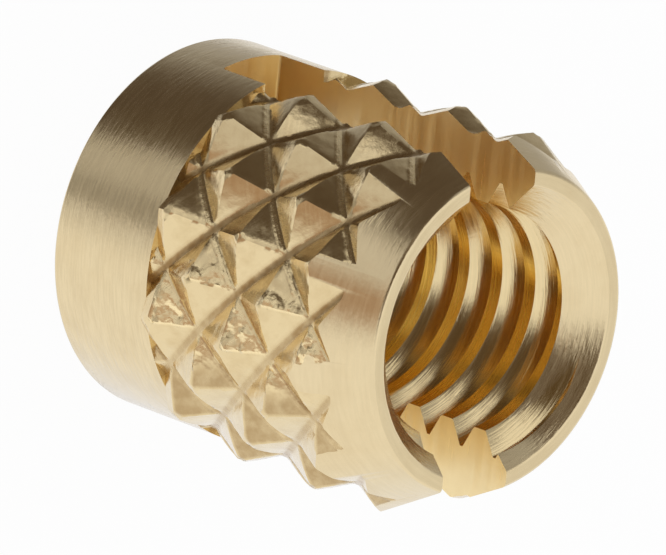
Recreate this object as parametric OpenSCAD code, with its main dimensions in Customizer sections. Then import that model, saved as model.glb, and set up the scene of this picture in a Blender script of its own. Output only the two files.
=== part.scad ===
// Expansion insert, turned from one bar of brass: a plain collar, a band of
// diamond knurling, a conical nose and a saw cut that splits the front into two
// jaws. A screw run in from the collar end spreads the jaws in their hole.
// The insert stands on its collar, with its axis on Z and the saw cut along X.

/* [Body] */
// Length from the collar's end face to the nose rim
length = 4.75; // [4:0.05:8]
// Diameter of the plain collar
collar_d = 4.1; // [3.9:0.05:4.6]
// Length of the plain collar
collar_len = 1.5; // [0.9:0.05:2.4]
// Bevel round the collar's end face
collar_bevel = 0.05; // [0.02:0.01:0.2]
// Slope of the nose cone, measured from the axis
nose_angle = 26; // [20:0.5:50]
// Width of the flat rim between the nose cone and the front lead-in
rim_w = 0.16; // [0.08:0.01:0.25]

/* [Thread] */
// Nominal diameter of the screw thread
thread_d = 3; // [2.5:0.1:3.2]
// Pitch of the screw thread
thread_pitch = 0.5; // [0.35:0.05:0.7]
// How far the lead-in at each mouth is wider than the thread, across the diameter
lead_in_over = 0.2; // [0.1:0.05:0.3]
// Full angle of the lead-in cones
lead_in_angle = 90; // [60:5:120]

/* [Knurl] */
// Number of diamonds round the body
knurl_count = 11; // [8:1:16]
// Height of one diamond along the axis
knurl_rise = 1.14; // [0.8:0.02:1.6]
// Height of the tooth tops above the collar
knurl_stand = 0.15; // [0.05:0.01:0.3]
// Depth of the grooves below the tooth tops
knurl_depth = 0.24; // [0.12:0.01:0.35]
// Width of the flat on each tooth top
crest_flat = 0.06; // [0.02:0.01:0.12]
// Width of the flat at the bottom of each groove
root_flat = 0.05; // [0.02:0.01:0.12]
// Angle from the saw cut to the first crossing of the grooves
knurl_turn = 2; // [0:0.2:30]
// Height of the first crossing of the grooves above the collar
knurl_shift = 0.742; // [0.3:0.002:1.4]
// How far the knurl's middle lies off the axis of the collar
knurl_off = 0.04; // [0:0.01:0.1]
// Direction in which it lies off the axis, measured from the saw cut
knurl_off_turn = 160; // [0:5:355]

/* [Saw cut] */
// Width of the saw cut
cut_w = 0.85; // [0.4:0.05:1.1]
// Thickness of the collar left whole behind the saw cut
cut_floor = 0.82; // [0.5:0.02:1.4]
// How far the saw cut's middle lies off the axis
cut_offset = 0.13; // [0:0.01:0.2]

/* [Hidden] */
$fn = 96;

brass = [0.86, 0.72, 0.42];
// overshoot of the cutting shapes past the faces that they cut
over = 1;
// how far the blank of the nose reaches past the knurl
nose_over = 0.4;

collar_r = collar_d / 2;
bore_d = thread_d - thread_pitch;
lead_in_d = thread_d + lead_in_over;
lead_in_depth = (lead_in_d - bore_d) / 2 / tan(lead_in_angle / 2);
rim_r = lead_in_d / 2 + rim_w;

crest_r = collar_r + knurl_stand;
root_r = crest_r - knurl_depth;
nose_z = length - (crest_r - rim_r) / tan(nose_angle);

// The lattice: a column every half diamond round the body and a row every half
// diamond up it. Crossings of the grooves and tooth tops take turns along both.
col_step = 180 / knurl_count;
row_step = knurl_rise / 2;
// distance from the line of a groove to the middle of the tooth beside it
half_w = PI * collar_d * col_step / 360;
flank = half_w * row_step / norm([half_w, row_step]);
root_share = root_flat / 2 / flank;
crest_share = 1 - crest_flat / 2 / flank;
// rows of the lattice below and above the band, so that both ends are cut clean
low_rows = ceil(knurl_shift / row_step) + 1;
high_rows = ceil((length - collar_len - knurl_shift) / row_step) + 1;

// A point on the knurled surface, in columns and rows from the first crossing
function knurl_point(col, row, radius) = [
    radius * cos(knurl_turn + col * col_step),
    radius * sin(knurl_turn + col * col_step),
    collar_len + knurl_shift + row * row_step
];
function is_tooth(col, row) = abs(col + row) % 2 == 1;

// Triangles of one quarter of a tooth: its middle is at (col, row), and the
// crossings beside it lie one column along (dc) and one row along (dr)
function quarter(col, row, dc, dr) =
    let (
        turn = dc * dr > 0,
        top = knurl_point(col, row, crest_r),
        top_a = knurl_point(col + dc * (1 - crest_share), row, crest_r),
        top_b = knurl_point(col, row + dr * (1 - crest_share), crest_r),
        foot_a = knurl_point(col + dc * (1 - root_share), row, root_r),
        foot_b = knurl_point(col, row + dr * (1 - root_share), root_r),
        cross_a = knurl_point(col + dc, row, root_r),
        cross_b = knurl_point(col, row + dr, root_r),
        faces = [
            [top, top_b, top_a],
            [top_a, top_b, foot_b], [top_a, foot_b, foot_a],
            [foot_a, foot_b, cross_b], [foot_a, cross_b, cross_a]
        ]
    )
    [for (face = faces) turn ? face : [face[0], face[2], face[1]]];

// Points along the closed edge of the lattice at the given row
function edge_ring(row) = [
    for (col = [0 : 2 * knurl_count - 1])
        let (
            tooth = is_tooth(col, row),
            near = tooth ? 1 - crest_share : root_share,
            far = tooth ? 1 - root_share : crest_share,
            near_r = tooth ? crest_r : root_r,
            far_r = tooth ? root_r : crest_r
        )
        each [
            knurl_point(col, row, near_r),
            knurl_point(col + near, row, near_r),
            knurl_point(col + far, row, far_r)
        ]
];

// Closing fan of the lattice at the given row
function end_fan(row, up) =
    let (ring = edge_ring(row), n = len(ring), mid = [0, 0, ring[0][2]])
    [for (i = [0 : n - 1]) up ? [mid, ring[(i + 1) % n], ring[i]] : [mid, ring[i], ring[(i + 1) % n]]];

// Bar with diamond teeth all over, longer than the band that is cut from it
module knurled_bar() {
    triangles = concat(
        [for (row = [-low_rows : high_rows], col = [0 : 2 * knurl_count - 1])
            if (is_tooth(col, row))
                for (dc = [-1, 1], dr = [-1, 1])
                    if (row + dr >= -low_rows && row + dr <= high_rows)
                        each quarter(col, row, dc, dr)],
        end_fan(-low_rows, false),
        end_fan(high_rows, true)
    );
    translate([knurl_off * cos(knurl_off_turn), knurl_off * sin(knurl_off_turn), 0])
        polyhedron(
            points = [for (t = triangles) each t],
            faces = [for (i = [0 : len(triangles) - 1]) [3 * i, 3 * i + 1, 3 * i + 2]]
        );
}

// Outline of the band and the nose, turned about the axis
module nose_blank() {
    rotate_extrude()
        polygon([
            [0, collar_len],
            [crest_r + nose_over, collar_len],
            [crest_r + nose_over, nose_z - nose_over / tan(nose_angle)],
            [rim_r, length],
            [0, length]
        ]);
}

module collar() {
    rotate_extrude()
        polygon([
            [0, 0],
            [collar_r - collar_bevel, 0],
            [collar_r, collar_bevel],
            [collar_r, collar_len],
            [0, collar_len]
        ]);
}

// Tapping bore with a lead-in cone at each mouth
module bore() {
    mouth_r = lead_in_d / 2 + over * tan(lead_in_angle / 2);
    translate([0, 0, -over])
        cylinder(d = bore_d, h = length + 2 * over);
    translate([0, 0, length - lead_in_depth])
        cylinder(r1 = bore_d / 2, r2 = mouth_r, h = lead_in_depth + over);
    translate([0, 0, -over])
        cylinder(r1 = mouth_r, r2 = bore_d / 2, h = lead_in_depth + over);
}

// The saw passes straight across, so its floor is square to the axis
module saw_cut() {
    translate([-crest_r - over, cut_offset - cut_w / 2, cut_floor])
        cube([2 * (crest_r + over), cut_w, length - cut_floor + over]);
}

module insert_body() {
    color(brass)
        difference() {
            union() {
                collar();
                intersection() {
                    knurled_bar();
                    nose_blank();
                }
            }
            bore();
            saw_cut();
        }
}

insert_body();
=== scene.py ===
"""Looks of a slotted expansion insert: the turned, knurled, tapped and sawn brass body.

Sizes are in millimetres while a mesh is being made, and each finished mesh is
brought to metres at the end. The insert stands on its collar at the origin,
with its axis on Z and the saw cut along X.
"""

import logging
import math
from dataclasses import dataclass, field
from enum import Enum

import bmesh
import bpy
from mathutils import Matrix, Vector, noise

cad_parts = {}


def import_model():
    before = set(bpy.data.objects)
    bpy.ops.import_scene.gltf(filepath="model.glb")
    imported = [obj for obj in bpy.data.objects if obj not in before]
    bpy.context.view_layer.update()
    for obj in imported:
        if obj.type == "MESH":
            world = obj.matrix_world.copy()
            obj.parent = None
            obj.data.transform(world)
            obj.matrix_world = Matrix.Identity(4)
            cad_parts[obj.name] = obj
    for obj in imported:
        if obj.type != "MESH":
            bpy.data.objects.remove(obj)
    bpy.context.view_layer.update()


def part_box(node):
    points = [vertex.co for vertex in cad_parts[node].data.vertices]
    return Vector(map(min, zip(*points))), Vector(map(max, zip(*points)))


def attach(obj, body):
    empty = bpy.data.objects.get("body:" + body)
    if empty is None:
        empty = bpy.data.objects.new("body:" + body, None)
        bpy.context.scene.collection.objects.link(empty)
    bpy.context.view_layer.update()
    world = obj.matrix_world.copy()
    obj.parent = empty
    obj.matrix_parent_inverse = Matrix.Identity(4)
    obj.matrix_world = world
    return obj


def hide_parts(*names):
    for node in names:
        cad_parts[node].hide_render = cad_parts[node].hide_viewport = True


Tone = tuple[float, float, float]
Corner = tuple[float, float]
Span = tuple[float, float]
Finishes = list[bpy.types.Material]
Tree = bpy.types.NodeTree
Socket = bpy.types.NodeSocket

LOG = logging.getLogger("insert")
MM = 0.001
NODE = "insert_body"
# how closely the place of a vertex or a face has to agree, in millimetres
NEAR = 0.01
# vertices that lie closer than this are one, in millimetres
MERGE = 1e-5
# colours of the surround and of most of the dark cards, linear
WHITE: Tone = (1.0, 1.0, 1.0)
DARK: Tone = (0.095, 0.070, 0.048)


class Region(Enum):
    """Surfaces of the insert, each with the finish that its tool leaves; the bore's finish also carries
    painted shade, and the saw cut's painted light.
    """

    COLLAR = 0
    NOSE = 1
    KNURL = 2
    THREAD = 3
    SLOT = 4
    BORE = 5


class Carving(Enum):
    """What a tool does to the body that it carves."""

    CUT = "DIFFERENCE"
    TRIM = "INTERSECT"


@dataclass(frozen=True)
class InsertSizes:
    """Sizes of the insert, in millimetres and degrees, as the solid has them.

    Attributes:
        length: From the collar's end face to the rim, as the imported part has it.
        collar_r: Radius of the plain collar.
        collar_len: Length of the plain collar.
        collar_bevel: Bevel round the collar's end face.
        nose_angle: Slope of the nose cone, from the axis.
        rim_r: Outer radius of the flat rim.
        mouth_r: Radius of the lead-in cones at the two end faces.
        mouth_depth: Depth of the lead-in cones.
        bore_r: Radius of the bore, which is the thread's crest.
        crest_r: Radius of the knurl's tooth tops.
        root_r: Radius of the bottom of the knurl's grooves.
        half_diamonds: Number of half diamonds round the knurl.
        row_step: Height of half a diamond.
        knurl_turn: Azimuth of the first groove crossing.
        knurl_shift: Height of the first groove crossing above the collar.
        knurl_off: How far the knurl's middle lies off the axis.
        knurl_off_turn: Azimuth in which it lies off the axis.
        pitch: Pitch of the thread.
        thread_r: Radius of the bottom of the thread's groove.
        cut_w: Width of the saw cut.
        cut_floor: Height of the saw cut's floor.
        cut_offset: How far the saw cut's middle lies off the axis.
    """

    length: float
    collar_r: float = 2.05
    collar_len: float = 1.5
    collar_bevel: float = 0.05
    nose_angle: float = 26.0
    rim_r: float = 1.76
    mouth_r: float = 1.6
    mouth_depth: float = 0.35
    bore_r: float = 1.25
    crest_r: float = 2.20
    root_r: float = 1.96
    half_diamonds: int = 22
    row_step: float = 0.57
    knurl_turn: float = 2.0
    knurl_shift: float = 0.742
    knurl_off: float = 0.04
    knurl_off_turn: float = 160.0
    pitch: float = 0.5
    thread_r: float = 1.5
    cut_w: float = 0.85
    cut_floor: float = 0.82
    cut_offset: float = 0.13

    def slope(self) -> float:
        """Returns the nose cone's slope from the axis, in radians."""
        return math.radians(self.nose_angle)

    def aside(self) -> float:
        """Returns the azimuth in which the knurl lies off the axis, in radians."""
        return math.radians(self.knurl_off_turn)

    def cone_z(self, radius: float) -> float:
        """Returns the height at which the nose cone has a given radius."""
        return self.length - (radius - self.rim_r) / math.tan(self.slope())


def mesh_object(bm: bmesh.types.BMesh, name: str, finishes: Finishes) -> bpy.types.Object:
    """Turns a bmesh into a linked object that carries every finish of the insert.

    Args:
        bm: The finished bmesh, which is freed.
        name: Name of the object and its mesh.
        finishes: Materials in the order of Region.

    Returns:
        The new object, at the origin.
    """
    mesh = bpy.data.meshes.new(name)
    bm.to_mesh(mesh)
    bm.free()
    for finish in finishes:
        mesh.materials.append(finish)
    obj = bpy.data.objects.new(name, mesh)
    bpy.context.scene.collection.objects.link(obj)
    return obj


def paint(faces: list[bmesh.types.BMFace], region: Region) -> None:
    """Gives faces the finish of a region."""
    for face in faces:
        face.material_index = region.value


def smooth_share(value: float, low: float, high: float) -> float:
    """Returns the eased share, from 0 to 1, of the way that a value has gone from low to high."""
    share = min(max((value - low) / (high - low), 0.0), 1.0)
    return share * share * (3 - 2 * share)


def round_edges(bm: bmesh.types.BMesh, edges: list[bmesh.types.BMEdge], size: float) -> None:
    """Rounds edges by a width that is given in millimetres."""
    bmesh.ops.bevel(bm, geom=edges, offset=size, affect="EDGES", segments=3, profile=0.5, material=-1)


def revolve(bm: bmesh.types.BMesh, outline: list[Corner], steps: int) -> None:
    """Spins a closed outline a full turn about Z.

    Args:
        bm: The bmesh to fill, which is empty.
        outline: Corners as (radius, height), in millimetres.
        steps: Number of steps round.
    """
    corners = [bm.verts.new((r, 0.0, z)) for r, z in outline]
    edges = [bm.edges.new((a, b)) for a, b in zip(corners, corners[1:] + corners[:1])]
    bmesh.ops.spin(
        bm,
        geom=corners + edges,
        cent=(0, 0, 0),
        axis=(0, 0, 1),
        angle=math.tau,
        steps=steps,
        use_merge=True,
        use_duplicate=False,
    )
    bmesh.ops.remove_doubles(bm, verts=bm.verts, dist=MERGE)
    bmesh.ops.recalc_face_normals(bm, faces=bm.faces)


def carve(body: bpy.types.Object, tool: bpy.types.Object, way: Carving) -> None:
    """Cuts a body with a tool, or trims it to the tool, and throws the tool away.

    Args:
        body: Object that is changed.
        tool: Object that is consumed.
        way: What the tool does to the body.
    """
    step = body.modifiers.new("carve", "BOOLEAN")
    step.operation = way.value
    step.solver = "EXACT"
    step.material_mode = "INDEX"
    step.object = tool
    graph = bpy.context.evaluated_depsgraph_get()
    result = bpy.data.meshes.new_from_object(body.evaluated_get(graph))
    body.modifiers.remove(step)
    old = body.data
    body.data = result
    result.name = old.name.split(".")[0] + "_cut"
    bpy.data.meshes.remove(old)
    spent = tool.data
    bpy.data.objects.remove(tool)
    bpy.data.meshes.remove(spent)


@dataclass
class TurnedBlank:
    """The bored blank that leaves the lathe: collar, shoulder, cone, rim and bore.

    Attributes:
        sizes: Sizes of the insert.
        steps: Steps round the body.
        spare: How far the band stands past the knurl before it is knurled.
        rim_round: Width of the rounding at the rim's outer edge.
        edge_round: Width of the rounding at the other turned edges.
    """

    sizes: InsertSizes
    steps: int = 288
    spare: float = 0.5
    rim_round: float = 0.035
    edge_round: float = 0.02

    def outline(self) -> list[Corner]:
        """Draws the blank's outline.

        Returns:
            The corners of the closed outline, as radius and height.
        """
        s = self.sizes
        wide = s.crest_r + self.spare
        return [
            (s.bore_r, s.mouth_depth),
            (s.mouth_r, 0.0),
            (s.collar_r - s.collar_bevel, 0.0),
            (s.collar_r, s.collar_bevel),
            (s.collar_r, s.collar_len),
            (wide, s.collar_len),
            (wide, s.cone_z(wide)),
            (s.rim_r, s.length),
            (s.mouth_r, s.length),
            (s.bore_r, s.length - s.mouth_depth),
        ]

    def soften(self, bm: bmesh.types.BMesh, radius: float, height: float, size: float) -> None:
        """Rounds the turned edge at a given radius and height.

        Args:
            bm: The revolved blank.
            radius: Radius of the edge.
            height: Height of the edge.
            size: Width of the rounding.
        """
        spot = Vector((radius, height))
        ring = []
        for edge in bm.edges:
            places = [Vector((v.co.xy.length, v.co.z)) for v in edge.verts]
            if all((place - spot).length < 1e-4 for place in places):
                ring.append(edge)
        round_edges(bm, ring, size)

    def build(self, finishes: Finishes) -> bpy.types.Object:
        """Builds the blank.

        Args:
            finishes: Materials in the order of Region.

        Returns:
            The blank as an object, in millimetres.
        """
        s = self.sizes
        bm = bmesh.new()
        revolve(bm, self.outline(), self.steps)
        self.soften(bm, s.rim_r, s.length, self.rim_round)
        self.soften(bm, s.mouth_r, s.length, self.edge_round)
        self.soften(bm, s.collar_r, s.collar_bevel, self.edge_round)
        self.soften(bm, s.collar_r - s.collar_bevel, 0.0, self.edge_round)
        self.soften(bm, s.mouth_r, 0.0, self.edge_round)
        for face in bm.faces:
            middle = face.calc_center_median()
            out = middle.xy.length
            if out < s.bore_r + NEAR:
                face.material_index = Region.BORE.value
            elif middle.z > s.collar_len - NEAR:
                face.material_index = Region.NOSE.value
            else:
                face.material_index = Region.COLLAR.value
        return mesh_object(bm, "turned_blank", finishes)


@dataclass
class KnurledBar:
    """The diamond knurl, rolled on a bar that is longer than the band.

    The lattice is counted in half diamonds from the first groove crossing:
    columns round the bar and rows up it.

    Attributes:
        sizes: Sizes of the insert.
        fine: Mesh steps in one half diamond.
        low_rows: Rows below the first crossing.
        high_rows: Rows above the first crossing.
        floor_up: Half width of the grooves that climb with the thread, in mesh steps.
        floor_down: Half width of the other grooves, in mesh steps.
        tear: Height of the torn metal on the rear flanks.
        torn_from: Azimuths between which the torn metal sets in.
        torn_to: Azimuths between which it fades away.
        burr: Height of the burr that the roll leaves along the climbing grooves.
        burr_place: Mesh steps from a climbing groove to the middle of its burr.
        shade_from: Azimuths between which the painted shade in the other grooves grows.
        shade_to: Azimuths between which it thins.
        shade_reach: Mesh steps from a groove's middle over which its painted shade ends.
        flank_shade: How much painted shade the rear flanks take past the torn band, where they are
            smooth.
        flank_shade_from: Azimuths between which that painted shade grows.
        crest: Share of the full height past which a tooth top is worn blunt.
        grain: Height of the pressed metal's grain.
        foot_drop: Drop from the shoulder to the bar's lower edge, and from there to the skirt.
        skirt_out: How far the skirt stands out past the teeth.
        skirt_drop: How far the skirt reaches down.
    """

    sizes: InsertSizes
    fine: int = 16
    low_rows: int = 3
    high_rows: int = 5
    floor_up: float = 0.5
    floor_down: float = 1.3
    tear: float = 0.042
    torn_from: Span = (74.0, 84.0)
    torn_to: Span = (106.0, 116.0)
    burr: float = 0.009
    burr_place: float = 1.6
    shade_from: Span = (40.0, 70.0)
    shade_to: Span = (78.0, 112.0)
    shade_reach: Span = (0.8, 2.5)
    flank_shade: float = 0.62
    flank_shade_from: Span = (104.0, 114.0)
    crest: float = 0.86
    grain: float = 0.004
    foot_drop: float = 0.004
    skirt_out: float = 1.0
    skirt_drop: float = 3.0

    def lattice(self, x: float, y: float) -> tuple[float, float]:
        """Returns the columns and rows of a point on the flat grid, which runs from -0.5 to 0.5."""
        rows = self.low_rows + self.high_rows
        return (x + 0.5) * self.sizes.half_diamonds, (y + 0.5) * rows - self.low_rows

    def steps_off(self, place: float) -> float:
        """Returns how many mesh steps a place lies from the nearest groove line."""
        return abs(place - round(place)) * 2 * self.fine

    def rise(self, col: float, row: float) -> tuple[float, float]:
        """Height that each family of grooves leaves at a lattice place.

        Args:
            col: Columns from the first crossing.
            row: Rows from the first crossing.

        Returns:
            Heights above the root, as shares of the knurl's depth, for the
            grooves that climb with the thread and for the others.
        """
        down = max(0.0, self.steps_off((col + row) / 2) - self.floor_down) / (self.fine - self.floor_down)
        up = max(0.0, self.steps_off((col - row) / 2) - self.floor_up) / (self.fine - self.floor_up)
        return up, down

    def rear(self, col: float, row: float) -> bool:
        """Tells whether a lattice place is on the rear flank of a tooth.

        Args:
            col: Columns from the first crossing.
            row: Rows from the first crossing.

        Returns:
            True on the flank that the roll leaves last.
        """
        up, down = self.rise(col, row)
        climb = (col - row) / 2
        return climb > round(climb) and up < down

    def torn(self, col: float, row: float) -> float:
        """How much of the metal is torn where the roll has left a tooth's rear flank.

        Args:
            col: Columns from the first crossing.
            row: Rows from the first crossing.

        Returns:
            A share from 0, cleanly pressed, to 1, wholly torn.
        """
        angle = self.sizes.knurl_turn + col * 360 / self.sizes.half_diamonds
        band = smooth_share(angle, *self.torn_from) * (1 - smooth_share(angle, *self.torn_to))
        inside = smooth_share(min(self.rise(col, row)), 0.06, 0.2)
        return (1.0 if self.rear(col, row) else 0.1) * inside * max(band, 0.10)

    def burred(self, col: float, row: float) -> float:
        """How much burr stands along the rear lip of a climbing groove.

        Args:
            col: Columns from the first crossing.
            row: Rows from the first crossing.

        Returns:
            A share from 0 to 1.
        """
        climb = (col - row) / 2
        if climb < round(climb):
            return 0.0
        lip = max(0.0, 1 - abs(self.steps_off(climb) - self.burr_place) / self.burr_place)
        return lip * smooth_share(self.rise(col, row)[1], 0.0, 0.1)

    def place(self, col: float, row: float) -> Vector:
        """Point of the knurled surface at a lattice place.

        Args:
            col: Columns from the first crossing.
            row: Rows from the first crossing.

        Returns:
            The point, in millimetres.
        """
        s = self.sizes
        angle = math.radians(s.knurl_turn + col * 360 / s.half_diamonds)
        height = s.collar_len + s.knurl_shift + row * s.row_step
        out = Vector((math.cos(angle), math.sin(angle), 0))
        spot = out * s.collar_r + Vector((0, 0, height))
        share = min(self.rise(col, row))
        depth = s.crest_r - s.root_r
        coarse = noise.noise(spot * 9.0)
        fine = noise.noise(spot * 31.0)
        blunt = self.crest - 0.10 * coarse
        if share > blunt:
            share = blunt + (share - blunt) * 0.25 + 0.05 * fine
        radius = s.root_r + depth * share + self.grain * fine
        radius += self.burr * self.burred(col, row) * (0.8 + 1.2 * fine)
        # big clods with small ones on them, which stand a little proud of the flank
        clods = 1.3 * noise.noise(spot * 8.0) + 0.4 * noise.noise(spot * 18.0) + 0.2
        radius += self.tear * self.torn(col, row) * clods
        return out * radius + Vector((0, 0, height))

    def wear_and_shade(self, spot: Vector) -> tuple[float, float]:
        """How torn the knurled metal is at a point of it, and how much painted shade it has there.

        Args:
            spot: The point, in millimetres.

        Returns:
            Shares from 0 to 1 of torn metal and of painted shade.
        """
        s = self.sizes
        aside = s.aside()
        x, y = spot.x - s.knurl_off * math.cos(aside), spot.y - s.knurl_off * math.sin(aside)
        turn = math.degrees(math.atan2(y, x))
        col = ((turn - s.knurl_turn) % 360) * s.half_diamonds / 360
        row = (spot.z - s.collar_len - s.knurl_shift) / s.row_step
        torn = max(self.torn(col, row), self.burred(col, row))
        # painted shade in the other grooves, most of it where the torn band sets in
        before = 0.35 * (1 - smooth_share(turn, *self.shade_from))
        after = 0.55 * smooth_share(turn, *self.shade_to)
        off = self.steps_off((col + row) / 2)
        groove = (1 - after - before) * (1 - smooth_share(off, *self.shade_reach))
        if not self.rear(col, row):
            return torn, groove
        up, down = self.rise(col, row)
        # painted shade on the smooth rear flanks past the torn band
        flank_shade = self.flank_shade * smooth_share(turn, *self.flank_shade_from) * smooth_share(down - up, 0.0, 0.05)
        return torn, max(groove, flank_shade)

    def build(self, finishes: Finishes) -> bpy.types.Object:
        """Builds the knurled bar with a wide skirt that spares the collar.

        Args:
            finishes: Materials in the order of Region.

        Returns:
            The bar as a closed object, in millimetres.
        """
        s = self.sizes
        rows = self.low_rows + self.high_rows
        bm = bmesh.new()
        bmesh.ops.create_grid(
            bm,
            x_segments=s.half_diamonds * self.fine,
            y_segments=rows * self.fine,
            size=0.5,
        )
        climbing, falling = [], []
        for face in bm.faces:
            middle = face.calc_center_median()
            up, down = self.rise(*self.lattice(middle.x, middle.y))
            (climbing if up < down else falling).append(face)
        bmesh.ops.triangulate(bm, faces=climbing, quad_method="FIXED", ngon_method="BEAUTY")
        bmesh.ops.triangulate(bm, faces=falling, quad_method="ALTERNATE", ngon_method="BEAUTY")
        for vert in bm.verts:
            vert.co = self.place(*self.lattice(vert.co.x, vert.co.y))
        bmesh.ops.remove_doubles(bm, verts=bm.verts, dist=1e-4)
        foot = s.collar_len - self.foot_drop
        bmesh.ops.bisect_plane(
            bm,
            geom=list(bm.verts) + list(bm.edges) + list(bm.faces),
            dist=1e-6,
            plane_co=(0, 0, foot),
            plane_no=(0, 0, 1),
            clear_inner=True,
        )
        self.skirt(bm, foot)
        bmesh.ops.holes_fill(bm, edges=bm.edges, sides=0)
        bmesh.ops.recalc_face_normals(bm, faces=bm.faces)
        paint(list(bm.faces), Region.KNURL)
        aside = s.aside()
        off = Vector((math.cos(aside), math.sin(aside), 0)) * s.knurl_off
        bmesh.ops.translate(bm, vec=off, verts=bm.verts)
        return mesh_object(bm, "knurled_bar", finishes)

    def skirt(self, bm: bmesh.types.BMesh, foot: float) -> None:
        """Flares the bar's lower edge out past the collar and down past its end.

        Args:
            bm: The open bar.
            foot: Height of its lower edge.
        """
        radius = self.sizes.crest_r + self.skirt_out
        for drop in (self.foot_drop, self.skirt_drop):
            rim = [e for e in bm.edges if e.is_boundary and all(v.co.z < foot + 1e-3 for v in e.verts)]
            grown = bmesh.ops.extrude_edge_only(bm, edges=rim)["geom"]
            for vert in (g for g in grown if isinstance(g, bmesh.types.BMVert)):
                out = vert.co.xy.normalized() * radius
                vert.co = Vector((out.x, out.y, foot - drop))


@dataclass
class ThreadCutter:
    """The helical space that the tap cuts, from past one mouth to past the other.

    Attributes:
        sizes: Sizes of the insert.
        turns: Number of turns.
        steps: Steps in one turn.
        crest_flat: Width of the crest that is left between two turns.
        blunt: How far the crest's edges are blunted.
        root_flat: Width of the bottom of the groove.
        start: Height of the groove's middle where it starts, at azimuth 0.
        fade_from: Height of the groove's middle at which it starts to grow shallow.
        fade_to: Height of the groove's middle at which it has gone.
        over: How far the cutter reaches into the open bore.
    """

    sizes: InsertSizes
    turns: int = 12
    steps: int = 96
    crest_flat: float = 0.20
    blunt: float = 0.02
    root_flat: float = 0.04
    start: float = -0.7203
    fade_from: float = 4.58
    fade_to: float = 4.76
    over: float = 0.2

    def middle(self, spot: Vector) -> float:
        """Height of the middle of the groove that a point lies in.

        Args:
            spot: The point, in millimetres.

        Returns:
            The height at the point's own azimuth.
        """
        pitch = self.sizes.pitch
        turn = math.atan2(spot.y, spot.x) / math.tau
        return self.start + pitch * (turn + round((spot.z - self.start) / pitch - turn))

    def build(self, finishes: Finishes) -> bpy.types.Object:
        """Builds the cutter.

        Args:
            finishes: Materials in the order of Region.

        Returns:
            The cutter as a closed object, in millimetres.
        """
        s = self.sizes
        wide, narrow = (s.pitch - self.crest_flat) / 2, self.root_flat / 2
        inner = s.bore_r - self.over
        mouth, lip = wide + self.blunt, s.bore_r + self.blunt
        half = [(inner, mouth), (s.bore_r, mouth), (lip, wide), (s.thread_r, narrow)]
        shape = [(r, -z) for r, z in half] + half[::-1]
        bm = bmesh.new()
        corners = [bm.verts.new((r, 0.0, self.start + z)) for r, z in shape]
        edges = [bm.edges.new((a, b)) for a, b in zip(corners, corners[1:] + corners[:1])]
        total = self.turns * self.steps
        bmesh.ops.spin(
            bm,
            geom=corners + edges,
            cent=(0, 0, 0),
            axis=(0, 0, 1),
            dvec=(0, 0, s.pitch / self.steps),
            angle=math.tau * self.turns,
            steps=total,
            use_merge=False,
            use_duplicate=False,
        )
        for vert in bm.verts:
            out = vert.co.xy.length
            if out > s.bore_r + NEAR:
                kept = 1 - smooth_share(self.middle(vert.co), self.fade_from, self.fade_to)
                radius = s.bore_r + (out - s.bore_r) * kept
                vert.co.xy = vert.co.xy * (radius / out)
        bmesh.ops.holes_fill(bm, edges=bm.edges, sides=0)
        bmesh.ops.recalc_face_normals(bm, faces=bm.faces)
        paint(list(bm.faces), Region.THREAD)
        return mesh_object(bm, "thread_cutter", finishes)


@dataclass
class SawBlade:
    """The straight cut across the nose that parts the two jaws.

    Attributes:
        sizes: Sizes of the insert.
        corner: Width of the rounding that the blade's worn corners leave in the cut.
        reach: Length of the block, along the cut.
        height: Height of the block.
    """

    sizes: InsertSizes
    corner: float = 0.03
    reach: float = 8.0
    height: float = 6.0

    def build(self, finishes: Finishes) -> bpy.types.Object:
        """Builds the block that the saw takes away.

        Args:
            finishes: Materials in the order of Region.

        Returns:
            The block as an object, in millimetres.
        """
        s = self.sizes
        bm = bmesh.new()
        bmesh.ops.create_cube(bm, size=1.0)
        bmesh.ops.scale(bm, vec=(self.reach, s.cut_w, self.height), verts=bm.verts)
        middle = s.cut_floor + self.height / 2
        bmesh.ops.translate(bm, vec=(0, s.cut_offset, middle), verts=bm.verts)
        bottom = [e for e in bm.edges if all(v.co.z < s.cut_floor + NEAR for v in e.verts)]
        low = [e for e in bottom if abs(e.verts[0].co.x - e.verts[1].co.x) > self.reach / 2]
        round_edges(bm, low, self.corner)
        paint(list(bm.faces), Region.SLOT)
        return mesh_object(bm, "saw_blade", finishes)


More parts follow.
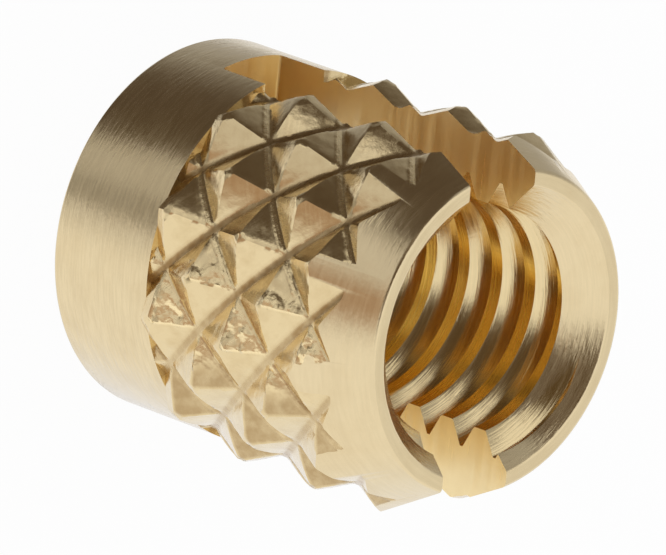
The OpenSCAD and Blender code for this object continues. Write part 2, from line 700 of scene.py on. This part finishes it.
@dataclass(frozen=True)
class NodeBench:
    """Lays nodes in one node tree and wires them up.

    Attributes:
        tree: The node tree.
    """

    tree: Tree

    def new(self, kind: str) -> bpy.types.Node:
        """Returns a new node of a kind, such as Emission or TexCoord."""
        return self.tree.nodes.new("ShaderNode" + kind)

    def fill(self, slot: Socket, value: Socket | Tone | float) -> None:
        """Gives an input its value.

        Args:
            slot: The input.
            value: A socket that is wired to it, or a number or colour that it takes.
        """
        if isinstance(value, bpy.types.NodeSocket):
            self.tree.links.new(value, slot)
        else:
            slot.default_value = (*value, 1.0) if isinstance(value, tuple) else value

    def place(self) -> Socket:
        """Returns the socket that gives the place on the object, in metres."""
        return self.new("TexCoord").outputs["Object"]

    def axes(self, place: Socket) -> tuple[Socket, ...]:
        """Splits a place in three.

        Args:
            place: Socket that gives the place.

        Returns:
            The sockets with x, y and z.
        """
        node = self.new("SeparateXYZ")
        self.fill(node.inputs["Vector"], place)
        return tuple(node.outputs[name] for name in "XYZ")

    def noise(self, place: Socket, scale: float, detail: float) -> Socket:
        """Adds a noise texture.

        Args:
            place: Socket that gives the place, in millimetres.
            scale: Size of the pattern, per millimetre.
            detail: Number of finer layers.

        Returns:
            The socket with the noise, from 0 to 1.
        """
        node = self.new("TexNoise")
        node.inputs["Scale"].default_value = scale
        node.inputs["Detail"].default_value = detail
        node.inputs["Roughness"].default_value = 0.6
        self.fill(node.inputs["Vector"], place)
        return node.outputs["Fac"]

    def math(self, operation: str, *values: Socket | float) -> Socket:
        """Adds a step of arithmetic.

        Args:
            operation: Name of the operation.
            values: Sockets or numbers that it works on, in their order.

        Returns:
            The socket with the result.
        """
        node = self.new("Math")
        node.operation = operation
        for slot, value in zip(node.inputs, values):
            self.fill(slot, value)
        return node.outputs["Value"]

    def mask(self, name: str) -> Socket:
        """Adds a share that the mesh carries at its vertices.

        Args:
            name: Name of the mesh attribute.

        Returns:
            The socket with the share.
        """
        node = self.new("Attribute")
        node.attribute_name = name
        return node.outputs["Fac"]

    def bump(self, height: Socket, size: float, under: Socket | None = None) -> Socket:
        """Adds a bump.

        Args:
            height: Socket with the height, from 0 to 1.
            size: Full height, in millimetres.
            under: Socket with the normal of the bump below this one.

        Returns:
            The socket with the bumped normal.
        """
        node = self.new("Bump")
        node.inputs["Strength"].default_value = 1.0
        node.inputs["Distance"].default_value = size * MM
        self.fill(node.inputs["Height"], height)
        if under is not None:
            self.fill(node.inputs["Normal"], under)
        return node.outputs["Normal"]

    def blend(self, share: Socket, first: Socket | Tone, second: Socket | Tone) -> Socket:
        """Adds a blend of two colours.

        Args:
            share: Socket with the share of the second colour.
            first: First socket or colour.
            second: Second socket or colour.

        Returns:
            The socket with the blended colour.
        """
        node = self.new("Mix")
        node.data_type = "RGBA"
        self.fill(node.inputs["Factor"], share)
        self.fill(node.inputs[6], first)
        self.fill(node.inputs[7], second)
        return node.outputs[2]

    def spread(self, value: Socket, old: Span, new: Span) -> Socket:
        """Adds a clamped change of range.

        Args:
            value: Socket to change.
            old: Range that it comes from.
            new: Range that it goes to.

        Returns:
            The socket with the new value.
        """
        node = self.new("MapRange")
        for name, number in zip(("From Min", "From Max", "To Min", "To Max"), old + new):
            node.inputs[name].default_value = number
        self.fill(node.inputs["Value"], value)
        return node.outputs["Result"]

    def glow(self, tone: Tone) -> Socket:
        """Adds a surface that shines at strength 1.

        Args:
            tone: Its colour, linear.

        Returns:
            The socket with the shader.
        """
        node = self.new("Emission")
        self.fill(node.inputs["Color"], tone)
        return node.outputs["Emission"]

    def show(self, share: Socket, first: Socket, second: Socket, output: str) -> None:
        """Sends a blend of two shaders to the tree's output.

        Args:
            share: Socket with the share of the second shader.
            first: Socket with the first shader.
            second: Socket with the second shader.
            output: Name of the output node.
        """
        node = self.new("MixShader")
        for slot, value in zip(node.inputs, (share, first, second)):
            self.fill(slot, value)
        self.fill(self.tree.nodes[output].inputs["Surface"], node.outputs["Shader"])


class Course(Enum):
    """Way that a tool travels over the brass, and so the way its marks run."""

    ROUND = "round the axis"
    ACROSS = "straight across the nose"


@dataclass(frozen=True)
class BrassFinish:
    """One finish of the same brass, as one tool leaves it.

    Attributes:
        name: Name of the material.
        course: Way that the tool marks run.
        tone: Base colour, linear.
        fresh_tone: Base colour of freshly torn brass, linear.
        painted_shade_tone: Base colour of the shade painted into the knurl's grooves and onto its rear
            flanks, linear.
        roughness: Roughness between the marks.
        lines: Height of the fine tool marks, in millimetres.
        line_scale: Fine tool marks per millimetre.
        line_run: Changes of a mark along its own length, per millimetre.
        flat_share: Marks on a face square to the axis, as a share of those along it.
        chatter: Height of the short marks of a trembling tool, in millimetres.
        chatter_scale: Short marks per millimetre.
        swell: Height of the broad marks, in millimetres.
        swell_scale: Broad marks per millimetre.
        grain: Height of the grain, in millimetres.
        grain_scale: Grains per millimetre.
        mark_shade: How far the colour darkens in the deepest fine tool marks, as painted shade.
        mark_shade_tone: Base colour of the painted shade in the deepest tool marks, linear.
        stain: How far the colour drifts toward a darker brass in patches.
        stain_scale: Patches of drifted colour per millimetre.
        stain_shade: Share of each channel that the darker brass keeps.
        torn_grain: Height of the grain where the metal is torn, in millimetres.
        torn_scale: Grains of torn metal per millimetre.
        torn_rough: Roughness that torn metal adds.
        painted_shade_rough: Roughness that is added where the shade is painted.
    """

    name: str
    course: Course = Course.ROUND
    tone: Tone = (0.80, 0.655, 0.405)
    fresh_tone: Tone = (0.98, 0.80, 0.47)
    painted_shade_tone: Tone = (0.34, 0.20, 0.075)
    roughness: float = 0.2
    lines: float = 0.0012
    line_scale: float = 34.0
    line_run: float = 1.1
    flat_share: float = 0.7
    chatter: float = 0.0
    chatter_scale: float = 24.0
    swell: float = 0.0
    swell_scale: float = 7.0
    grain: float = 0.0006
    grain_scale: float = 26.0
    mark_shade: float = 0.0
    mark_shade_tone: Tone = (0.46, 0.36, 0.21)
    stain: float = 0.25
    stain_scale: float = 2.3
    stain_shade: Tone = (0.80, 0.74, 0.66)
    torn_grain: float = 0.0
    torn_scale: float = 12.0
    torn_rough: float = 0.12
    painted_shade_rough: float = 0.22

    def track(self, bench: NodeBench, spot: Socket) -> Socket:
        """Stretches a place along the way that the tool travels.

        Args:
            bench: Bench of the material's tree.
            spot: Socket that gives the place, in millimetres.

        Returns:
            The socket with the stretched place.
        """
        x, y, z = bench.axes(spot)
        node = bench.new("CombineXYZ")
        run = self.line_run / self.line_scale
        bench.fill(node.inputs["X"], bench.math("MULTIPLY", x, run))
        aside = y
        if self.course is Course.ROUND:
            bench.fill(node.inputs["Y"], bench.math("MULTIPLY", y, run))
            square = bench.math("ADD", bench.math("MULTIPLY", x, x), bench.math("MULTIPLY", y, y))
            aside = bench.math("SQRT", square)
        bench.fill(node.inputs["Z"], bench.math("MULTIPLY_ADD", aside, self.flat_share, z))
        return node.outputs["Vector"]

    def chattered(self, bench: NodeBench, spot: Socket, under: Socket) -> Socket:
        """Adds the short marks of a trembling tool.

        Args:
            bench: Bench of the material's tree.
            spot: Socket that gives the place, in millimetres.
            under: Socket with the normal of the bump below this one.

        Returns:
            The socket with the bumped normal.
        """
        short = bench.new("Mapping")
        short.inputs["Scale"].default_value = (0.2, 0.2, 1.0)
        bench.fill(short.inputs["Vector"], spot)
        ticks = bench.noise(short.outputs["Vector"], self.chatter_scale, 2.0)
        return bench.bump(ticks, self.chatter, under)

    def build(self) -> bpy.types.Material:
        """Builds the material.

        Returns:
            The new material.
        """
        mat = bpy.data.materials.new(self.name)
        mat.use_nodes = True
        bench = NodeBench(mat.node_tree)
        place = bench.new("Mapping")
        place.inputs["Scale"].default_value = (1 / MM,) * 3
        bench.fill(place.inputs["Vector"], bench.place())
        spot = place.outputs["Vector"]
        track = self.track(bench, spot)
        marks = bench.noise(track, self.line_scale, 3.0)
        broad = bench.noise(track, self.swell_scale, 1.0)
        grain = bench.noise(spot, self.grain_scale, 4.0)
        patches = bench.noise(spot, self.stain_scale, 3.0)
        normal = bench.bump(broad, self.swell)
        normal = bench.bump(marks, self.lines, normal)
        if self.chatter:
            normal = self.chattered(bench, spot, normal)
        normal = bench.bump(grain, self.grain, normal)
        # painted shade: the colour darkens in the deepest fine tool marks
        mark_shade_share = bench.spread(marks, (0.36, 0.62), (self.mark_shade, 0.0))
        colour = bench.blend(mark_shade_share, self.tone, self.mark_shade_tone)
        stained = bench.spread(patches, (0.42, 0.72), (0.0, self.stain))
        darker = tuple(channel * share for channel, share in zip(self.tone, self.stain_shade))
        colour = bench.blend(stained, colour, darker)
        rough = bench.spread(marks, (0.3, 0.7), (self.roughness - 0.05, self.roughness + 0.06))
        if self.torn_grain:
            torn = bench.mask("torn")
            clods = bench.noise(spot, self.torn_scale, 1.5)
            normal = bench.bump(bench.math("MULTIPLY", clods, torn), self.torn_grain, normal)
            bare = bench.spread(torn, (0.2, 0.8), (0.0, 0.9))
            colour = bench.blend(bare, colour, self.fresh_tone)
            thick = bench.spread(patches, (0.3, 0.6), (0.55, 0.95))
            # painted shade: darker brown in the knurl's grooves and on its rear flanks, thicker in
            # patches
            painted_shade = bench.math("MULTIPLY", bench.mask("painted_shade"), thick)
            colour = bench.blend(painted_shade, colour, self.painted_shade_tone)
            rough = bench.math("MULTIPLY_ADD", torn, self.torn_rough, rough)
            rough = bench.math("MULTIPLY_ADD", painted_shade, self.painted_shade_rough, rough)
        looks = {"Metallic": 1.0, "Normal": normal, "Base Color": colour, "Roughness": rough}
        for name, value in looks.items():
            bench.fill(mat.node_tree.nodes["Principled BSDF"].inputs[name], value)
        return mat


@dataclass
class InsertBody:
    """The whole insert, made by the same steps as the real one.

    Attributes:
        sizes: Sizes of the insert.
        name: Name of the finished piece.
        sharp_angle: Angle past which an edge stays crisp, in degrees.
        jaw_lean: How far one jaw is sprung outwards, per millimetre of its length.
    """

    sizes: InsertSizes
    name: str = "brass_insert"
    sharp_angle: float = 28.0
    jaw_lean: float = 0.026

    def finishes(self) -> Finishes:
        """Builds the finishes of all the regions.

        Returns:
            The materials in the order of Region.
        """
        looks = [
            BrassFinish(
                "brass_turned_collar",
                lines=0.0024,
                line_run=3.2,
                chatter=0.004,
                swell=0.001,
                mark_shade=0.22,
            ),
            BrassFinish(
                "brass_turned_nose",
                lines=0.0022,
                line_run=2.0,
                chatter=0.003,
                swell=0.0015,
                mark_shade=0.12,
            ),
            BrassFinish(
                "brass_knurled",
                tone=(0.79, 0.635, 0.37),
                roughness=0.18,
                lines=0.0,
                grain=0.0018,
                grain_scale=18.0,
                stain=0.5,
                stain_scale=5.0,
                torn_grain=0.016,
            ),
            BrassFinish(
                "brass_tapped",
                tone=(0.82, 0.66, 0.38),
                roughness=0.16,
                mark_shade=0.15,
                lines=0.003,
                swell=0.002,
            ),
            # the sawn walls' tone is lifted above the brass's own, as painted light for the light that
            # reaches into the saw cut
            BrassFinish(
                "brass_sawn_painted_light",
                course=Course.ACROSS,
                tone=(0.93, 0.76, 0.44),
                roughness=0.32,
                lines=0.0008,
                swell=0.016,
                swell_scale=4.5,
            ),
            # the bore wall's deep amber is painted shade, for the light that bounces many times inside
            # the bore
            BrassFinish(
                "brass_bored_painted_shade",
                tone=(0.75, 0.45, 0.08),
                roughness=0.24,
                lines=0.002,
            ),
        ]
        return [look.build() for look in looks]

    def build(self) -> bpy.types.Object:
        """Builds and dresses the insert.

        Returns:
            The insert, in metres, riding on the part's body.
        """
        finishes = self.finishes()
        body = TurnedBlank(self.sizes).build(finishes)
        carve(body, ThreadCutter(self.sizes).build(finishes), Carving.CUT)
        LOG.info("thread cut, %d faces", len(body.data.polygons))
        carve(body, SawBlade(self.sizes).build(finishes), Carving.CUT)
        LOG.info("slot sawn, %d faces", len(body.data.polygons))
        carve(body, KnurledBar(self.sizes).build(finishes), Carving.TRIM)
        LOG.info("knurl rolled, %d faces", len(body.data.polygons))
        self.clean(body)
        body.name = body.data.name = self.name
        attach(body, "root")
        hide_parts(NODE)
        return body

    def mark(self, bm: bmesh.types.BMesh) -> None:
        """Notes at each vertex of the knurl how torn it is and how much painted shade it has.

        Args:
            bm: The carved insert, in millimetres.
        """
        torn = bm.verts.layers.float.new("torn")
        # the second share is the painted shade of the knurl's grooves and rear flanks
        painted_shade = bm.verts.layers.float.new("painted_shade")
        knurl = KnurledBar(self.sizes)
        for vert in bm.verts:
            if any(face.material_index == Region.KNURL.value for face in vert.link_faces):
                vert[torn], vert[painted_shade] = knurl.wear_and_shade(vert.co)

    def spring(self, bm: bmesh.types.BMesh) -> None:
        """Springs the jaw on the open side a little away from the other.

        Args:
            bm: The carved insert, in millimetres.
        """
        s = self.sizes
        for vert in bm.verts:
            if vert.co.y > s.cut_offset and vert.co.z > s.cut_floor:
                vert.co.y += self.jaw_lean * (vert.co.z - s.cut_floor)

    def clean(self, body: bpy.types.Object) -> None:
        """Merges doubles, shades the faces and brings the mesh to metres.

        Args:
            body: The carved insert, in millimetres.
        """
        bm = bmesh.new()
        bm.from_mesh(body.data)
        bmesh.ops.remove_doubles(bm, verts=bm.verts, dist=MERGE)
        bmesh.ops.dissolve_degenerate(bm, edges=bm.edges, dist=MERGE)
        bmesh.ops.recalc_face_normals(bm, faces=bm.faces)
        loose = sum(not edge.is_manifold for edge in bm.edges)
        LOG.info("open edges: %d, faces: %d", loose, len(bm.faces))
        for face in bm.faces:
            face.smooth = True
        self.mark(bm)
        self.spring(bm)
        bmesh.ops.scale(bm, vec=(MM,) * 3, verts=bm.verts)
        bm.to_mesh(body.data)
        bm.free()
        body.data.set_sharp_from_angle(angle=math.radians(self.sharp_angle))


@dataclass(frozen=True)
class StageCard:
    """A curved card far from the insert, which its polished faces mirror.

    Attributes:
        name: Name of the card.
        start: Azimuth at which it starts, in degrees.
        end: Azimuth at which it ends, in degrees.
        start_fade: Width of its soft edge at the start, in degrees.
        end_fade: Width of its soft edge at the end, in degrees.
        cover: How much of the white surround it hides.
        tone: Its colour, linear.
        radius: Its distance from the insert, in metres.
        low: Height of its lower edge, in metres.
        high: Height of its upper edge, in metres.
    """

    name: str
    start: float
    end: float
    start_fade: float
    end_fade: float
    cover: float
    tone: Tone
    radius: float
    low: float = -0.24
    high: float = 0.048

    def middle(self) -> float:
        """Returns the azimuth of its middle, in degrees."""
        return (self.start + self.end) / 2

    def half(self) -> float:
        """Returns half of its width, in degrees."""
        return (self.end - self.start) / 2

    def finish(self) -> bpy.types.Material:
        """Builds the card's material, solid in the middle and clear at its edges.

        Returns:
            The new material.
        """
        mat = bpy.data.materials.new(self.name)
        mat.use_nodes = True
        mat.node_tree.nodes.remove(mat.node_tree.nodes["Principled BSDF"])
        bench = NodeBench(mat.node_tree)
        turn = bench.new("Mapping")
        turn.inputs["Rotation"].default_value = (0, 0, math.radians(-self.middle()))
        bench.fill(turn.inputs["Vector"], bench.place())
        x, y, _ = bench.axes(turn.outputs["Vector"])
        angle = bench.math("ARCTAN2", y, x)
        share = self.cover
        for side, fade in ((-1, self.start_fade), (1, self.end_fade)):
            edge = bench.new("MapRange")
            edge.interpolation_type = "SMOOTHSTEP"
            edge.inputs["From Min"].default_value = side * math.radians(self.half())
            edge.inputs["From Max"].default_value = side * math.radians(self.half() - fade)
            bench.fill(edge.inputs["Value"], angle)
            share = bench.math("MULTIPLY", edge.outputs["Result"], share)
        clear = bench.new("BsdfTransparent").outputs["BSDF"]
        bench.show(share, clear, bench.glow(self.tone), "Material Output")
        return mat

    def build(self) -> bpy.types.Object:
        """Builds the card, which only the insert's polished faces see.

        Returns:
            The card.
        """
        bm = bmesh.new()
        start = math.radians(self.start)
        ends = [
            bm.verts.new((self.radius * math.cos(start), self.radius * math.sin(start), z))
            for z in (self.low, self.high)
        ]
        side = bm.edges.new(ends)
        bmesh.ops.spin(
            bm,
            geom=ends + [side],
            cent=(0, 0, 0),
            axis=(0, 0, 1),
            angle=math.radians(self.end - self.start),
            steps=max(4, round(self.half())),
            use_merge=False,
            use_duplicate=False,
        )
        card = mesh_object(bm, self.name, [self.finish()])
        card.visible_camera = False
        card.visible_diffuse = False
        card.visible_shadow = False
        return card


@dataclass
class Studio:
    """A pale floor and a white surround with soft cards in it.

    Attributes:
        floor_size: Side of the floor, in metres.
        floor_tone: Colour of the floor, linear.
        floor_glow: Share of pure white that the camera sees on the floor.
        light_tone: Colour of the surround's light, linear.
        light_level: Strength of the surround's light.
        cards: The cards that the brass mirrors.
    """

    floor_size: float = 0.4
    floor_tone: Tone = (0.8, 0.8, 0.8)
    floor_glow: float = 0.96
    light_tone: Tone = (0.97, 0.98, 1.0)
    light_level: float = 0.85
    cards: tuple[StageCard, ...] = (
        StageCard("card_dark", -62.0, 46.0, 50.0, 16.0, 0.97, DARK, 0.040, high=-0.006),
        StageCard("card_gap", -62.0, 34.0, 50.0, 9.0, 0.97, DARK, 0.040, -0.006, 0.0065),
        StageCard("card_tall", -50.0, 47.0, 34.0, 17.0, 0.97, DARK, 0.040, 0.0065, 0.020),
        StageCard("card_high", -16.0, 56.0, 16.0, 17.0, 0.92, DARK, 0.040, 0.020, 0.034),
        StageCard("card_lead", -14.0, 87.0, 14.0, 18.0, 0.88, (0.10, 0.062, 0.032), 0.040, 0.034, 0.060),
        StageCard("card_top", -2.0, 114.0, 12.0, 22.0, 0.98, (0.085, 0.050, 0.018), 0.040, 0.060, 0.70),
        StageCard("card_grey", -92.0, 27.0, 24.0, 12.0, 0.62, (0.10, 0.09, 0.08), 0.041),
        StageCard("card_soft", 32.0, 108.0, 12.0, 26.0, 0.36, (0.20, 0.18, 0.17), 0.042),
        StageCard("card_stripe", 58.0, 82.0, 9.0, 5.0, 0.44, (0.13, 0.11, 0.08), 0.0435, high=-0.014),
        StageCard("card_low", 34.0, 87.0, 14.0, 8.0, 0.30, (0.12, 0.10, 0.07), 0.043, high=-0.012),
        StageCard("card_warm", 61.0, 96.0, 12.0, 14.0, 0.78, (0.50, 0.25, 0.09), 0.044, low=-0.020),
        StageCard("card_cool", 168.0, 265.0, 30.0, 15.0, 0.80, (0.97, 1.02, 1.15), 0.042, high=0.012),
        StageCard("card_rear", 205.0, 292.0, 16.0, 16.0, 0.14, (0.10, 0.09, 0.04), 0.041, 0.018, 0.075),
    )

    def floor(self) -> bpy.types.Object:
        """Builds the floor, which isn't part of the insert.

        Returns:
            The floor.
        """
        bm = bmesh.new()
        bmesh.ops.create_grid(bm, x_segments=1, y_segments=1, size=self.floor_size / 2)
        mat = bpy.data.materials.new("floor_white")
        mat.use_nodes = True
        bench = NodeBench(mat.node_tree)
        shader = mat.node_tree.nodes["Principled BSDF"]
        bench.fill(shader.inputs["Base Color"], self.floor_tone)
        bench.fill(shader.inputs["Roughness"], 0.9)
        camera = bench.new("LightPath").outputs["Is Camera Ray"]
        share = bench.math("MULTIPLY", camera, self.floor_glow)
        bench.show(share, shader.outputs["BSDF"], bench.glow(WHITE), "Material Output")
        obj = mesh_object(bm, "floor", [mat])
        obj.visible_glossy = False
        return obj

    def world(self) -> None:
        """Lights the insert evenly from all round, and is white where it is mirrored."""
        world = bpy.data.worlds.new("surround")
        world.use_nodes = True
        bench = NodeBench(world.node_tree)
        light = world.node_tree.nodes["Background"]
        bench.fill(light.inputs["Color"], self.light_tone)
        bench.fill(light.inputs["Strength"], self.light_level)
        seen = bench.new("Background")
        bench.fill(seen.inputs["Color"], WHITE)
        path = bench.new("LightPath").outputs
        first = bench.math("MAXIMUM", path["Is Camera Ray"], path["Is Glossy Ray"])
        either = bench.math("MAXIMUM", first, path["Is Transmission Ray"])
        bench.show(either, light.outputs["Background"], seen.outputs["Background"], "World Output")
        world.cycles.sampling_method = "NONE"
        bpy.context.scene.world = world

    def build(self) -> None:
        """Builds the floor, the surround and the cards."""
        self.floor()
        self.world()
        for card in self.cards:
            card.build()


@dataclass
class ViewCamera:
    """The camera, from high on the open side of the nose, with a long lens.

    Attributes:
        place: Where it stands, in millimetres.
        right: Direction to the right of its frame.
        up: Direction up its frame.
        lens: Focal length, in millimetres.
    """

    place: Vector = field(default_factory=lambda: Vector((38.597, 102.948, 104.160)))
    right: Vector = field(default_factory=lambda: Vector((0.08946, -0.71761, 0.69067)))
    up: Vector = field(default_factory=lambda: Vector((0.96207, -0.11718, -0.24637)))
    lens: float = 761.4

    def build(self) -> bpy.types.Object:
        """Builds the camera and sets it as the scene's own.

        Returns:
            The new camera.
        """
        data = bpy.data.cameras.new("camera")
        data.lens = self.lens
        data.sensor_width = 36.0
        data.clip_start = 0.002
        data.clip_end = 10.0
        camera = bpy.data.objects.new("camera", data)
        right = self.right.normalized()
        back = right.cross(self.up).normalized()
        up = back.cross(right)
        turn = Matrix((right, up, back)).transposed().to_4x4()
        camera.matrix_world = Matrix.Translation(self.place * MM) @ turn
        bpy.context.scene.collection.objects.link(camera)
        bpy.context.scene.camera = camera
        return camera


def main() -> None:
    """Builds the insert, the studio and the camera."""
    logging.basicConfig(level=logging.INFO, format="%(name)s: %(message)s")
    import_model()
    low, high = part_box(NODE)
    sizes = InsertSizes(length=round((high.z - low.z) / MM, 3))
    scene = bpy.context.scene
    scene.view_settings.view_transform = "Standard"
    scene.cycles.glossy_bounces = 8
    scene.cycles.max_bounces = 12
    ViewCamera().build()
    LOG.info("camera set")
    Studio().build()
    LOG.info("studio set")
    body = InsertBody(sizes).build()
    LOG.info("%s: %d faces", body.name, len(body.data.polygons))


if __name__ == "__main__":
    main()
